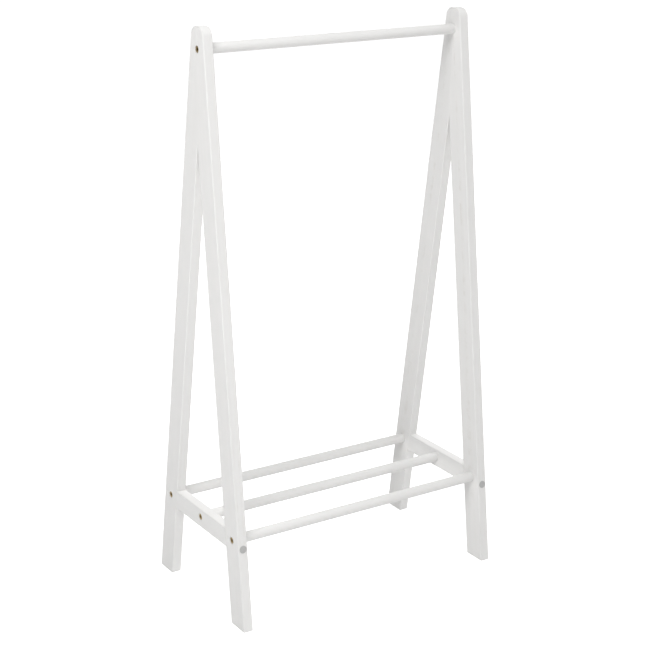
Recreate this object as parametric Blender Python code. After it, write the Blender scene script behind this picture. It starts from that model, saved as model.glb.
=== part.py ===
"""A child's clothes rack: two A-shaped end frames, a hanging rail and a low shelf of three round bars.

X runs along the rail, -Y is the front and +Z is up. The origin is on the floor, under the middle of the
rack. All sizes are in metres. Each end frame is two legs mitred together at the apex, with a crossbar
between them. Bolts hold the round bars between the frames.
"""

import math

import bmesh
import bpy
from mathutils import Matrix, Vector

# Overall sizes
HEIGHT = 1.000
WIDTH = 0.526
DEPTH = 0.300

# Boards of the end frames
BOARD = 0.018
LEG_WIDTH = 0.043
TOP_WIDTH = 0.036
APEX_RADIUS = 0.016
APEX_STEPS = 6
EDGE_RADIUS = 0.0020
EDGE_STEPS = 2
FOOT_EDGE = 0.0010
CROSSBAR_BOTTOM = 0.135
CROSSBAR_HEIGHT = 0.034

# Round bars
BAR_RADIUS = 0.009
BAR_CHAMFER = 0.001
RAIL_HEIGHT = 0.9635
SHELF_HEIGHT = 0.1545

# Bolts through the frames into threaded inserts in the bars' ends
BOLT_RADIUS = 0.0030
BOLT_REACH = 0.018
BOLT_TIP = 0.0008
HEAD_RADIUS = 0.0055
HEAD_EDGE = 0.0005
HEAD_THICKNESS = 0.0035
HEAD_RECESS = 0.0010
SOCKET_APOTHEM = 0.0020
SOCKET_DEPTH = 0.0025
COUNTERBORE_RADIUS = 0.0060
INSERT_RADIUS = 0.0050
INSERT_LENGTH = 0.0130
INSERT_EDGE = 0.0004

# Screws through the legs into the crossbars' ends, and the caps that cover them
SCREW_HEIGHT = 0.1455
SCREW_RADIUS = 0.0025
SCREW_LENGTH = 0.070
SCREW_POINT = 0.005
SCREW_POINT_RADIUS = 0.0006
SCREW_HEAD_RADIUS = 0.0050
SCREW_HEAD_THICKNESS = 0.0032
SCREW_HEAD_RECESS = 0.0035
SCREW_SOCKET_DEPTH = 0.0019
CAP_RADIUS = 0.0065
CAP_THICKNESS = 0.0010
CAP_EDGE = 0.0004
CAP_STEM_RADIUS = 0.0046
CAP_STEM_LENGTH = 0.0020

# Wooden pins across the glued joints
PIN_RADIUS = 0.0040
PIN_CHAMFER = 0.0010
APEX_PIN_HEIGHTS = {"lower": 0.850, "upper": 0.905}
APEX_PIN_LENGTH = 0.030
CROSSBAR_PIN_HEIGHT = 0.1625
CROSSBAR_PIN_LENGTH = 0.028

GAP = 0.0003
SHARP_ANGLE = math.radians(35)
CUTTER_OVERRUN = 0.002
BAR_SIDES = 24
HARDWARE_SIDES = 18

# Worked out from the sizes above
LEAN_SLOPE = (DEPTH - TOP_WIDTH) / 2 / HEIGHT
LEAN = math.atan(LEAN_SLOPE)
FRAME_X = (WIDTH - BOARD) / 2
CROSSBAR_TOP = CROSSBAR_BOTTOM + CROSSBAR_HEIGHT
COUNTERBORE_DEPTH = HEAD_RECESS + HEAD_THICKNESS + GAP
BOLT_END = BOARD + BOLT_REACH
BAR_HALF_LENGTH = WIDTH / 2 - BOARD - GAP
INSERT_BORE_DEPTH = GAP + INSERT_LENGTH + GAP
SCREW_SEAT = SCREW_HEAD_RECESS + SCREW_HEAD_THICKNESS

SIDES = {"left": -1, "right": 1}
ENDS = {"front": -1, "rear": 1}


def outer_edge(height):
    """Distance of a leg's outer edge from the middle plane at this height."""
    return DEPTH / 2 - height * LEAN_SLOPE


def inner_edge(height):
    return outer_edge(height) - LEG_WIDTH / math.cos(LEAN)


SHELF_Y = (outer_edge(SHELF_HEIGHT) + inner_edge(SHELF_HEIGHT)) / 2


def clear_scene():
    for obj in list(bpy.data.objects):
        bpy.data.objects.remove(obj, do_unlink=True)


def make_material(name, color, roughness, metallic=0.0):
    material = bpy.data.materials.new(name)
    material.use_nodes = True
    shader = material.node_tree.nodes["Principled BSDF"]
    shader.inputs["Base Color"].default_value = (*color, 1.0)
    shader.inputs["Roughness"].default_value = roughness
    shader.inputs["Metallic"].default_value = metallic
    material.diffuse_color = (*color, 1.0)
    return material


def make_materials():
    return {
        "paint": make_material("white_painted_wood", (0.84, 0.83, 0.81), 0.45),
        "pin": make_material("beech", (0.66, 0.47, 0.29), 0.6),
        "bolt": make_material("yellow_zinc_steel", (0.45, 0.34, 0.16), 0.35, 1.0),
        "insert": make_material("plain_zinc_steel", (0.60, 0.58, 0.52), 0.35, 1.0),
        "screw": make_material("zinc_steel", (0.55, 0.55, 0.56), 0.35, 1.0),
        "cap": make_material("grey_plastic", (0.45, 0.45, 0.45), 0.5),
    }


def make_empty(name, parent=None, location=(0, 0, 0)):
    empty = bpy.data.objects.new(name, None)
    bpy.context.scene.collection.objects.link(empty)
    empty.parent = parent
    empty.location = location
    return empty


def finish_mesh(name, bm):
    bmesh.ops.recalc_face_normals(bm, faces=bm.faces)
    mesh = bpy.data.meshes.new(name)
    bm.to_mesh(mesh)
    bm.free()
    return mesh


def place(name, mesh, material, parent, location=(0, 0, 0), axis=None):
    """Adds an object. Its local +X points along axis where one is given."""
    if material and not mesh.materials:
        mesh.materials.append(material)
        mesh.shade_smooth()
        mesh.set_sharp_from_angle(angle=SHARP_ANGLE)
    obj = bpy.data.objects.new(name, mesh)
    bpy.context.scene.collection.objects.link(obj)
    obj.parent = parent
    obj.location = location
    if axis:
        obj.rotation_mode = "QUATERNION"
        obj.rotation_quaternion = Vector(axis).to_track_quat("X", "Z")
    return obj


def ring_radius(radius, hexagonal, angle):
    """A hexagonal ring's radius is its apothem."""
    if not hexagonal:
        return radius
    sector = math.pi / 3
    return radius / math.cos(angle % sector - sector / 2)


def add_turned(bm, rings, sides, matrix=None, tube=False):
    """Adds a solid turned about local X. A ring is (place along X, radius) or (place, apothem, True) for a
    hexagon. A tube's last ring joins its first; otherwise both ends are capped."""
    matrix = matrix or Matrix.Identity(4)
    loops = []
    for ring in rings:
        place_along, radius = ring[:2]
        loop = []
        for step in range(sides):
            angle = 2 * math.pi * step / sides
            reach = ring_radius(radius, len(ring) > 2, angle)
            point = Vector((place_along, reach * math.cos(angle), reach * math.sin(angle)))
            loop.append(bm.verts.new(matrix @ point))
        loops.append(loop)
    pairs = list(zip(loops, loops[1:]))
    if tube:
        pairs.append((loops[-1], loops[0]))
    else:
        bm.faces.new(loops[0])
        bm.faces.new(list(reversed(loops[-1])))
    for first, second in pairs:
        for i in range(sides):
            j = (i + 1) % sides
            bm.faces.new((first[i], first[j], second[j], second[i]))


def turned_mesh(name, rings, sides, tube=False):
    bm = bmesh.new()
    add_turned(bm, rings, sides, tube=tube)
    return finish_mesh(name, bm)


def hole(start, direction, steps):
    """A stepped hole: where it starts, its direction, and its (depth, radius) steps from the mouth in."""
    rings = [(-CUTTER_OVERRUN, steps[0][1])]
    for (depth, radius), following in zip(steps, steps[1:] + [None]):
        rings.append((depth, radius))
        if following:
            rings.append((depth, following[1]))
    turn = Vector(direction).to_track_quat("X", "Z").to_matrix().to_4x4()
    return rings, Matrix.Translation(start) @ turn


def cut_holes(obj, holes):
    bm = bmesh.new()
    for (rings, matrix), sides in holes:
        add_turned(bm, rings, sides, matrix)
    cutter = place(obj.name + "_holes", finish_mesh(obj.name + "_holes", bm), None, obj)
    cutter.hide_render = True
    cutter.display_type = "WIRE"
    boolean = obj.modifiers.new("holes", "BOOLEAN")
    boolean.object = cutter
    boolean.operation = "DIFFERENCE"


def board_mesh(name, outline, side_edges, corner_edges):
    """A board BOARD thick along X with its outline in (y, z). side_edges holds the rounding of each outline
    edge, and corner_edges that of each corner, which runs through the board."""
    bm = bmesh.new()
    weight = bm.edges.layers.float.new("bevel_weight_edge")
    left = [bm.verts.new((-BOARD / 2, y, z)) for y, z in outline]
    right = [bm.verts.new((BOARD / 2, y, z)) for y, z in outline]
    count = len(outline)
    for i in range(count):
        j = (i + 1) % count
        bm.faces.new((left[i], left[j], right[j], right[i]))
        bm.edges.get((left[i], left[j]))[weight] = side_edges[i] / EDGE_RADIUS
        bm.edges.get((right[i], right[j]))[weight] = side_edges[i] / EDGE_RADIUS
    bm.faces.new(left)
    bm.faces.new(list(reversed(right)))
    for i in range(count):
        bm.edges.get((left[i], right[i]))[weight] = corner_edges[i] / EDGE_RADIUS
    return finish_mesh(name, bm)


def round_edges(obj):
    bevel = obj.modifiers.new("rounded_edges", "BEVEL")
    bevel.limit_method = "WEIGHT"
    bevel.width = EDGE_RADIUS
    bevel.segments = EDGE_STEPS
    bevel.use_clamp_overlap = True


def leg_outline(end):
    """(y, z) points of a leg from the foot up to its rounded apex, and the roundings that go with them."""
    mitre_y = GAP / 2
    mitre_foot = (inner_edge(0) - mitre_y) / LEAN_SLOPE
    centre_z = HEIGHT - APEX_RADIUS
    centre_y = outer_edge(centre_z) - APEX_RADIUS / math.cos(LEAN)
    points = [(outer_edge(0), 0), (inner_edge(0), 0), (mitre_y, mitre_foot), (mitre_y, HEIGHT)]
    sides = [FOOT_EDGE, EDGE_RADIUS, 0, EDGE_RADIUS]
    corners = [FOOT_EDGE, FOOT_EDGE, 0, 0]
    turn = math.pi / 2 - LEAN
    for step in range(APEX_STEPS + 1):
        angle = math.pi / 2 - turn * step / APEX_STEPS
        points.append((centre_y + APEX_RADIUS * math.cos(angle), centre_z + APEX_RADIUS * math.sin(angle)))
        sides.append(EDGE_RADIUS)
        corners.append(0)
    return [(end * y, z) for y, z in points], sides, corners


def bolt_hole(side, y, z):
    """Counterbored from the outer face of a board whose middle is at local x = 0."""
    start = (side * BOARD / 2, y, z)
    steps = [(COUNTERBORE_DEPTH, COUNTERBORE_RADIUS), (BOARD + CUTTER_OVERRUN, BOLT_RADIUS + GAP)]
    return hole(start, (-side, 0, 0), steps), HARDWARE_SIDES


def pin_hole(y, z, direction, length):
    return hole((0, y, z), (0, direction, 0), [(length / 2 + GAP, PIN_RADIUS + GAP)]), HARDWARE_SIDES


def make_leg(side_name, end_name, parent, material):
    side = SIDES[side_name]
    end = ENDS[end_name]
    name = f"{side_name}_{end_name}_leg"
    leg = place(name, board_mesh(name, *leg_outline(end)), material, parent)
    round_edges(leg)
    screw_start = (0, end * outer_edge(SCREW_HEIGHT), SCREW_HEIGHT)
    screw_steps = [
        (SCREW_SEAT + GAP, SCREW_HEAD_RADIUS + GAP),
        (LEG_WIDTH + 2 * CUTTER_OVERRUN, SCREW_RADIUS + GAP),
    ]
    holes = [
        bolt_hole(side, 0, RAIL_HEIGHT),
        bolt_hole(side, end * SHELF_Y, SHELF_HEIGHT),
        (hole(screw_start, (0, -end, 0), screw_steps), HARDWARE_SIDES),
        pin_hole(end * inner_edge(CROSSBAR_PIN_HEIGHT), CROSSBAR_PIN_HEIGHT, end, CROSSBAR_PIN_LENGTH),
    ]
    for height in APEX_PIN_HEIGHTS.values():
        holes.append(pin_hole(0, height, end, APEX_PIN_LENGTH))
    cut_holes(leg, holes)


def make_crossbar(side_name, parent, material):
    side = SIDES[side_name]
    name = f"{side_name}_crossbar"
    low = inner_edge(CROSSBAR_BOTTOM) - GAP
    high = inner_edge(CROSSBAR_TOP) - GAP
    outline = [(-low, CROSSBAR_BOTTOM), (low, CROSSBAR_BOTTOM), (high, CROSSBAR_TOP), (-high, CROSSBAR_TOP)]
    side_edges = [EDGE_RADIUS, 0, EDGE_RADIUS, 0]
    corner_edges = [0, 0, 0, 0]
    crossbar = place(name, board_mesh(name, outline, side_edges, corner_edges), material, parent)
    round_edges(crossbar)
    holes = [bolt_hole(side, 0, SHELF_HEIGHT)]
    screw_end = SCREW_HEAD_RECESS + SCREW_LENGTH
    pilot = screw_end - (outer_edge(SCREW_HEIGHT) - inner_edge(SCREW_HEIGHT)) + GAP
    for end in ENDS.values():
        start = (0, end * inner_edge(SCREW_HEIGHT), SCREW_HEIGHT)
        holes.append((hole(start, (0, -end, 0), [(pilot, SCREW_RADIUS + GAP)]), HARDWARE_SIDES))
        pin_y = end * inner_edge(CROSSBAR_PIN_HEIGHT)
        holes.append(pin_hole(pin_y, CROSSBAR_PIN_HEIGHT, -end, CROSSBAR_PIN_LENGTH))
    cut_holes(crossbar, holes)


def bar_mesh(name):
    """A round bar along X, bored at both ends for an insert and the bolt's tip."""
    inner_end = BAR_HALF_LENGTH - INSERT_BORE_DEPTH
    blind_end = BAR_HALF_LENGTH - BOLT_REACH - CUTTER_OVERRUN
    half = [
        (blind_end, BOLT_RADIUS + GAP),
        (inner_end, BOLT_RADIUS + GAP),
        (inner_end, INSERT_RADIUS + GAP),
        (BAR_HALF_LENGTH, INSERT_RADIUS + GAP),
        (BAR_HALF_LENGTH, BAR_RADIUS - BAR_CHAMFER),
        (BAR_HALF_LENGTH - BAR_CHAMFER, BAR_RADIUS),
    ]
    other_half = [(-along, radius) for along, radius in reversed(half)]
    return turned_mesh(name, half + other_half, BAR_SIDES)


def bolt_mesh():
    """Along +X from the frame's outer face. The head stands in its counterbore."""
    seat = HEAD_RECESS + HEAD_THICKNESS
    rings = [
        (HEAD_RECESS + SOCKET_DEPTH, SOCKET_APOTHEM, True),
        (HEAD_RECESS, SOCKET_APOTHEM, True),
        (HEAD_RECESS, HEAD_RADIUS - HEAD_EDGE),
        (HEAD_RECESS + HEAD_EDGE, HEAD_RADIUS),
        (seat, HEAD_RADIUS),
        (seat, BOLT_RADIUS),
        (BOLT_END - BOLT_TIP, BOLT_RADIUS),
        (BOLT_END, BOLT_RADIUS - BOLT_TIP),
    ]
    return turned_mesh("bolt", rings, HARDWARE_SIDES)


def insert_mesh():
    """A threaded sleeve along +X from the bar's end face inwards."""
    bore = BOLT_RADIUS + GAP
    rings = [
        (GAP, bore),
        (GAP, INSERT_RADIUS),
        (GAP + INSERT_LENGTH - INSERT_EDGE, INSERT_RADIUS),
        (GAP + INSERT_LENGTH, INSERT_RADIUS - INSERT_EDGE),
        (GAP + INSERT_LENGTH, bore),
    ]
    return turned_mesh("insert", rings, HARDWARE_SIDES, tube=True)


def screw_mesh():
    """Along +X from the leg's outer edge inwards."""
    end = SCREW_HEAD_RECESS + SCREW_LENGTH
    rings = [
        (SCREW_HEAD_RECESS + SCREW_SOCKET_DEPTH, SOCKET_APOTHEM, True),
        (SCREW_HEAD_RECESS, SOCKET_APOTHEM, True),
        (SCREW_HEAD_RECESS, SCREW_HEAD_RADIUS),
        (SCREW_SEAT, SCREW_HEAD_RADIUS),
        (SCREW_SEAT, SCREW_RADIUS),
        (end - SCREW_POINT, SCREW_RADIUS),
        (end, SCREW_POINT_RADIUS),
    ]
    return turned_mesh("screw", rings, HARDWARE_SIDES)


def cap_mesh():
    """Along +X, outwards from the leg's outer edge, with its stem in the screw's counterbore."""
    rings = [
        (-CAP_STEM_LENGTH, CAP_STEM_RADIUS),
        (GAP, CAP_STEM_RADIUS),
        (GAP, CAP_RADIUS),
        (GAP + CAP_THICKNESS - CAP_EDGE, CAP_RADIUS),
        (GAP + CAP_THICKNESS, CAP_RADIUS - 2 * CAP_EDGE),
    ]
    return turned_mesh("cap", rings, BAR_SIDES)


def pin_mesh(name, length):
    half = length / 2
    rings = [
        (-half, PIN_RADIUS - PIN_CHAMFER),
        (PIN_CHAMFER - half, PIN_RADIUS),
        (half - PIN_CHAMFER, PIN_RADIUS),
        (half, PIN_RADIUS - PIN_CHAMFER),
    ]
    return turned_mesh(name, rings, HARDWARE_SIDES)


def make_end_frame(side_name, parent, materials, meshes):
    side = SIDES[side_name]
    frame = make_empty(f"{side_name}_end_frame", parent, (side * FRAME_X, 0, 0))
    make_crossbar(side_name, frame, materials["paint"])
    for end_name, end in ENDS.items():
        make_leg(side_name, end_name, frame, materials["paint"])
        corner = f"{side_name}_{end_name}"
        face = (0, end * outer_edge(SCREW_HEIGHT), SCREW_HEIGHT)
        outwards = (0, end * math.cos(LEAN), math.sin(LEAN))
        joint = (0, end * inner_edge(CROSSBAR_PIN_HEIGHT), CROSSBAR_PIN_HEIGHT)
        place(f"{corner}_crossbar_screw", meshes["screw"], materials["screw"], frame, face, (0, -end, 0))
        place(f"{corner}_screw_cap", meshes["cap"], materials["cap"], frame, face, outwards)
        place(f"{corner}_crossbar_pin", meshes["crossbar_pin"], materials["pin"], frame, joint, (0, end, 0))
    for level, height in APEX_PIN_HEIGHTS.items():
        name = f"{side_name}_{level}_apex_pin"
        place(name, meshes["apex_pin"], materials["pin"], frame, (0, 0, height), (0, 1, 0))


def make_bar(name, y, z, parent, materials, meshes):
    """A round bar with an insert and a bolt at each end."""
    bar = place(name, meshes["bar"], materials["paint"], parent, (0, y, z))
    for side_name, side in SIDES.items():
        inwards = (-side, 0, 0)
        bar_end = (side * BAR_HALF_LENGTH, 0, 0)
        outer_face = (side * WIDTH / 2, 0, 0)
        place(f"{name}_{side_name}_insert", meshes["insert"], materials["insert"], bar, bar_end, inwards)
        place(f"{name}_{side_name}_bolt", meshes["bolt"], materials["bolt"], bar, outer_face, inwards)


def main():
    clear_scene()
    materials = make_materials()
    meshes = {
        "bar": bar_mesh("round_bar"),
        "bolt": bolt_mesh(),
        "insert": insert_mesh(),
        "screw": screw_mesh(),
        "cap": cap_mesh(),
        "apex_pin": pin_mesh("apex_pin", APEX_PIN_LENGTH),
        "crossbar_pin": pin_mesh("crossbar_pin", CROSSBAR_PIN_LENGTH),
    }
    rack = make_empty("clothes_rack")
    for side_name in SIDES:
        make_end_frame(side_name, rack, materials, meshes)
    make_bar("hanging_rail", 0, RAIL_HEIGHT, rack, materials, meshes)
    make_bar("front_shelf_bar", -SHELF_Y, SHELF_HEIGHT, rack, materials, meshes)
    make_bar("middle_shelf_bar", 0, SHELF_HEIGHT, rack, materials, meshes)
    make_bar("rear_shelf_bar", SHELF_Y, SHELF_HEIGHT, rack, materials, meshes)


main()
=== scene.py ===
import math

import bmesh
import bpy
from mathutils import Euler, Matrix, Vector


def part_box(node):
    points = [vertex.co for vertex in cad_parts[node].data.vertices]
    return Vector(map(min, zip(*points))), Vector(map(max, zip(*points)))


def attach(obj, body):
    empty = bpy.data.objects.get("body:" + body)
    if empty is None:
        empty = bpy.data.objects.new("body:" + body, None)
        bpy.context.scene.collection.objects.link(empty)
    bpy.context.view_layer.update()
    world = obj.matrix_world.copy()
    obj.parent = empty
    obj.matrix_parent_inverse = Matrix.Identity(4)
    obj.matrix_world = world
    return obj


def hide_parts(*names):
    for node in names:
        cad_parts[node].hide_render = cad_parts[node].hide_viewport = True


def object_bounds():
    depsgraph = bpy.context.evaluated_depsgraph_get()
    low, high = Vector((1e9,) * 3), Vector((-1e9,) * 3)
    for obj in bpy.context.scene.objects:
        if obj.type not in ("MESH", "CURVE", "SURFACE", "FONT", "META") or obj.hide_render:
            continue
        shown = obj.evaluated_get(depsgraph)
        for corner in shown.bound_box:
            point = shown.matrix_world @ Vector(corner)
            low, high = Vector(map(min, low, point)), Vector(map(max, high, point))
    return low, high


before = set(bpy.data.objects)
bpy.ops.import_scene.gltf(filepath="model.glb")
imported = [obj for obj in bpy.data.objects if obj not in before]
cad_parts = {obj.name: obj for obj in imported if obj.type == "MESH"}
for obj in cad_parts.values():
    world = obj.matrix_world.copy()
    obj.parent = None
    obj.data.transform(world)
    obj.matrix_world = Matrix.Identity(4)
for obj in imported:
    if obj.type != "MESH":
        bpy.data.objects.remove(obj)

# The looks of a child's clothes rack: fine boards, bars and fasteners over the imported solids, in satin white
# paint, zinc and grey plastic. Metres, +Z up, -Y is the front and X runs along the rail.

solid_low, solid_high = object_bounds()

# Boards: their roundings, and the hairline left in the paint where two boards are glued together
LONG_EDGE = 0.0020
FOOT_EDGE = 0.0010
JOINT_EDGE = 0.0003
SEAM = 0.0001
EDGE_SEGMENTS = 6
TOP_WIDTH = 0.036
FOOT_SPREAD = 0.300
LEG_WIDTH = 0.043
APEX_RADIUS = 0.016
APEX_STEPS = 20
MOUTH_EDGE = 0.0004
MOUTH_STEPS = 4
SHARP_ANGLE = math.radians(32)
FLAT_FACE_WEIGHT = 100

# Holes
COUNTERBORE_RADIUS = 0.0060
COUNTERBORE_DEPTH = 0.0048
BOLT_HOLE_RADIUS = 0.0033
SCREW_SEAT_RADIUS = 0.0053
SCREW_SEAT_DEPTH = 0.0070
SCREW_HOLE_RADIUS = 0.0028
SCREW_TIP_Y = 0.0560
PIN_HOLE_RADIUS = 0.0043
PIN_HOLE_CLEARANCE = 0.0003
INSERT_HOLE_RADIUS = 0.0053
INSERT_HOLE_DEPTH = 0.0136
BOLT_TIP_DEPTH = 0.0200
CUTTER_OVERRUN = 0.002
HOLE_SIDES = 48

# Round bars
BAR_SIDES = 72
BAR_RINGS = 80
BAR_END_ROUNDING = 0.0006
BAR_STRAIGHT_SHARE = 0.8  # of the rings, the rest of which are in the rounded ends

# Fasteners
TURNED_SIDES = 48
ROUND_STEPS = 4
HEAD_THICKNESS = 0.0035
HEAD_EDGE = 0.0006
UNDERCUT = 0.0003
SOCKET_APOTHEM = 0.0020
SOCKET_DEPTH = 0.0025
SOCKET_EDGE = 0.0003
SOCKET_FLOOR_SHARE = 0.55
SOCKET_MOUTH_RECESS = 0.3
SCREW_HEAD_THICKNESS = 0.0032
SCREW_SOCKET_DEPTH = 0.0019
SCREW_SHANK_RADIUS = 0.0020
SCREW_POINT = 0.006
SCREW_POINT_RADIUS = 0.0005
SCREW_THREADED_SHARE = 0.6
BOLT_SHANK_RADIUS = 0.0027
BOLT_PLAIN_LENGTH = 0.013
BOLT_TIP = 0.0008
INSERT_CORE_RADIUS = 0.0044
INSERT_BORE_RADIUS = 0.0031
INSERT_EDGE = 0.0004
CAP_FACE_RADIUS = 0.0065
CAP_THICKNESS = 0.0012
CAP_EDGE = 0.0005
CAP_CROWN = 0.00015
CAP_STEM_RADIUS = 0.0046
CAP_STEM_LENGTH = 0.0020
PIN_CHAMFER = 0.0010
PIN_FLUTES = 16
PIN_FLUTE_DEPTH = 0.0003
THREAD_SIDES = 20
BOLT_PITCH = 0.0010
BOLT_RIDGE = 0.0003
SCREW_PITCH = 0.0026
SCREW_RIDGE = 0.0005
INSERT_PITCH = 0.0020
SEAT_SEED = 7

SIDES = {"left": -1, "right": 1}
ENDS = {"front": -1, "rear": 1}
BARS = ("hanging_rail", "front_shelf_bar", "middle_shelf_bar", "rear_shelf_bar")

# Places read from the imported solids
rack_height = solid_high.z
lean_slope = (FOOT_SPREAD - TOP_WIDTH) / 2 / rack_height
lean = math.atan(lean_slope)


def middle(node):
    low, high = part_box(node)
    return (low + high) / 2


def size(node):
    low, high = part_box(node)
    return high - low


def outer_end(node, axis, direction):
    """Where the node ends along the "x" or "y" axis, on its side in this direction."""
    low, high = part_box(node)
    return getattr(high if direction > 0 else low, axis)


def outer_edge(height):
    """Distance of a leg's outer edge from the middle plane at this height."""
    return FOOT_SPREAD / 2 - height * lean_slope


def inner_edge(height):
    return outer_edge(height) - LEG_WIDTH / math.cos(lean)


# ---------------------------------------------------------------------------------------------------------
# Mesh helpers


def new_object(name, mesh):
    obj = bpy.data.objects.new(name, mesh)
    bpy.context.scene.collection.objects.link(obj)
    return obj


def mesh_from(name, bm):
    bmesh.ops.recalc_face_normals(bm, faces=bm.faces)
    mesh = bpy.data.meshes.new(name)
    bm.to_mesh(mesh)
    bm.free()
    return mesh


def bake(obj):
    """Turns what the object's modifiers make into its own plain mesh."""
    depsgraph = bpy.context.evaluated_depsgraph_get()
    source = obj.evaluated_get(depsgraph)
    mesh = bpy.data.meshes.new_from_object(source, preserve_all_data_layers=True, depsgraph=depsgraph)
    obj.modifiers.clear()
    obj.data = mesh


def add_turned(bm, rings, sides, matrix=None):
    """A closed solid turned about local X, through (place along X, radius) rings."""
    matrix = matrix or Matrix.Identity(4)
    loops = []
    for along, radius in rings:
        loop = []
        for step in range(sides):
            angle = 2 * math.pi * step / sides
            point = Vector((along, radius * math.cos(angle), radius * math.sin(angle)))
            loop.append(bm.verts.new(matrix @ point))
        loops.append(loop)
    bm.faces.new(loops[0])
    bm.faces.new(list(reversed(loops[-1])))
    for first, second in zip(loops, loops[1:]):
        for i in range(sides):
            j = (i + 1) % sides
            bm.faces.new((first[i], first[j], second[j], second[i]))


def ring_reach(radius, shape, angle):
    """A hexagonal ring's radius is its apothem, and a fluted one's is measured over its ridges."""
    if shape == "hexagon":
        sector = math.pi / 3
        return radius / math.cos(angle % sector - sector / 2)
    if shape == "fluted":
        return radius - PIN_FLUTE_DEPTH * max(0.0, math.cos(PIN_FLUTES * angle)) ** 2
    return radius


def quarter_round(along, radius, edge):
    """Rings of a convex rounding that starts on a flat end at this place and ends on the turned side."""
    rings = []
    for step in range(ROUND_STEPS + 1):
        angle = math.pi / 2 * step / ROUND_STEPS
        rings.append((along + edge * (1 - math.cos(angle)), radius - edge * (1 - math.sin(angle))))
    return rings


def turned_fastener(name, rings, sides=TURNED_SIDES, closed=False):
    """A solid turned about X through rings of (place along X, radius, shape, recess), whose last two may be
    left out. Its UV map has the angle in U and the way along the outline in V, in metres. A closed outline
    makes a tube."""
    full = [tuple(ring) + ("round", 0.0)[len(ring) - 2 :] for ring in rings]
    bm = bmesh.new()
    uv = bm.loops.layers.uv.new("turned")
    recess_layer = bm.verts.layers.float.new("recess")
    circles = []
    ways = []
    way = 0.0
    for index, (along, radius, shape, recess) in enumerate(full):
        if index:
            way += math.hypot(along - full[index - 1][0], radius - full[index - 1][1])
        ways.append(way)
        circle = []
        for step in range(sides):
            angle = 2 * math.pi * step / sides
            reach = ring_reach(radius, shape, angle)
            vert = bm.verts.new((along, reach * math.cos(angle), reach * math.sin(angle)))
            vert[recess_layer] = recess
            circle.append(vert)
        circles.append(circle)
    if closed:
        circles.append(circles[0])
        ways.append(way + math.hypot(full[0][0] - full[-1][0], full[0][1] - full[-1][1]))
    for (first, second), (way_a, way_b) in zip(zip(circles, circles[1:]), zip(ways, ways[1:])):
        for i in range(sides):
            j = (i + 1) % sides
            face = bm.faces.new((first[i], first[j], second[j], second[i]))
            places = ((i, way_a), (i + 1, way_a), (i + 1, way_b), (i, way_b))
            for corner, (step, corner_way) in zip(face.loops, places):
                corner[uv].uv = (step / sides, corner_way)
    if not closed:
        for circle, end_way in ((circles[0], ways[0]), (circles[-1], ways[-1])):
            for corner in bm.faces.new(circle).loops:
                corner[uv].uv = (0.5, end_way)
    return new_object(name, mesh_from(name, bm))


def hole(start, direction, steps, eased=False):
    """A stepped hole: where it starts, its direction, and its (depth, radius) steps from the mouth in. An
    eased mouth is flared by a quarter round."""
    mouth = steps[0][1]
    rings = [(-CUTTER_OVERRUN, mouth + (MOUTH_EDGE if eased else 0))]
    if eased:
        for step in range(MOUTH_STEPS + 1):
            angle = math.pi / 2 * step / MOUTH_STEPS
            rings.append((MOUTH_EDGE * (1 - math.cos(angle)), mouth + MOUTH_EDGE * (1 - math.sin(angle))))
    for (depth, radius), following in zip(steps, steps[1:] + [None]):
        rings.append((depth, radius))
        if following:
            rings.append((depth, following[1]))
    turn = Vector(direction).to_track_quat("X", "Z").to_matrix().to_4x4()
    return rings, Matrix.Translation(start) @ turn


def drill(obj, holes):
    bm = bmesh.new()
    for rings, matrix in holes:
        add_turned(bm, rings, HOLE_SIDES, matrix)
    cutter = new_object(obj.name + "_drill", mesh_from(obj.name + "_drill", bm))
    boolean = obj.modifiers.new("holes", "BOOLEAN")
    boolean.object = cutter
    boolean.operation = "DIFFERENCE"
    bake(obj)
    bpy.data.objects.remove(cutter, do_unlink=True)


def shade(obj):
    """Smooth shading with flat faces kept flat, and sharp edges kept sharp."""
    obj.data.shade_smooth()
    obj.data.set_sharp_from_angle(angle=SHARP_ANGLE)
    weighted = obj.modifiers.new("flat_faces", "WEIGHTED_NORMAL")
    weighted.keep_sharp = True
    weighted.weight = FLAT_FACE_WEIGHT
    bake(obj)


def mark_edges(obj, in_joint=None):
    """Stores how far each point lies on a rounding between a face across X and a face along it, from 0 to 1,
    leaving out the edges of glued joints."""
    mesh = obj.data
    marks = mesh.attributes.new("edge", "FLOAT", "POINT")
    for vertex in mesh.vertices:
        across = abs(vertex.normal.x)
        glued = in_joint is not None and in_joint(vertex.co.y, vertex.co.z)
        marks.data[vertex.index].value = 0.0 if glued else 2 * across * math.sqrt(max(0.0, 1 - across**2))


# ---------------------------------------------------------------------------------------------------------
# Geometry node trees

NODE_SOCKETS = {
    "geometry": "NodeSocketGeometry",
    "float": "NodeSocketFloat",
    "int": "NodeSocketInt",
    "object": "NodeSocketObject",
    "material": "NodeSocketMaterial",
    "vector": "NodeSocketVector",
    "color": "NodeSocketColor",
}


def new_tree(name, kind, inputs, outputs):
    """A node tree with named sockets. inputs holds (name, type, default) and outputs (name, type)."""
    tree = bpy.data.node_groups.new(name, kind)
    for label, socket_type, default in inputs:
        socket = tree.interface.new_socket(label, in_out="INPUT", socket_type=NODE_SOCKETS[socket_type])
        if default is not None:
            socket.default_value = default
    for label, socket_type in outputs:
        tree.interface.new_socket(label, in_out="OUTPUT", socket_type=NODE_SOCKETS[socket_type])
    return tree, tree.nodes.new("NodeGroupInput").outputs, tree.nodes.new("NodeGroupOutput").inputs


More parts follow.
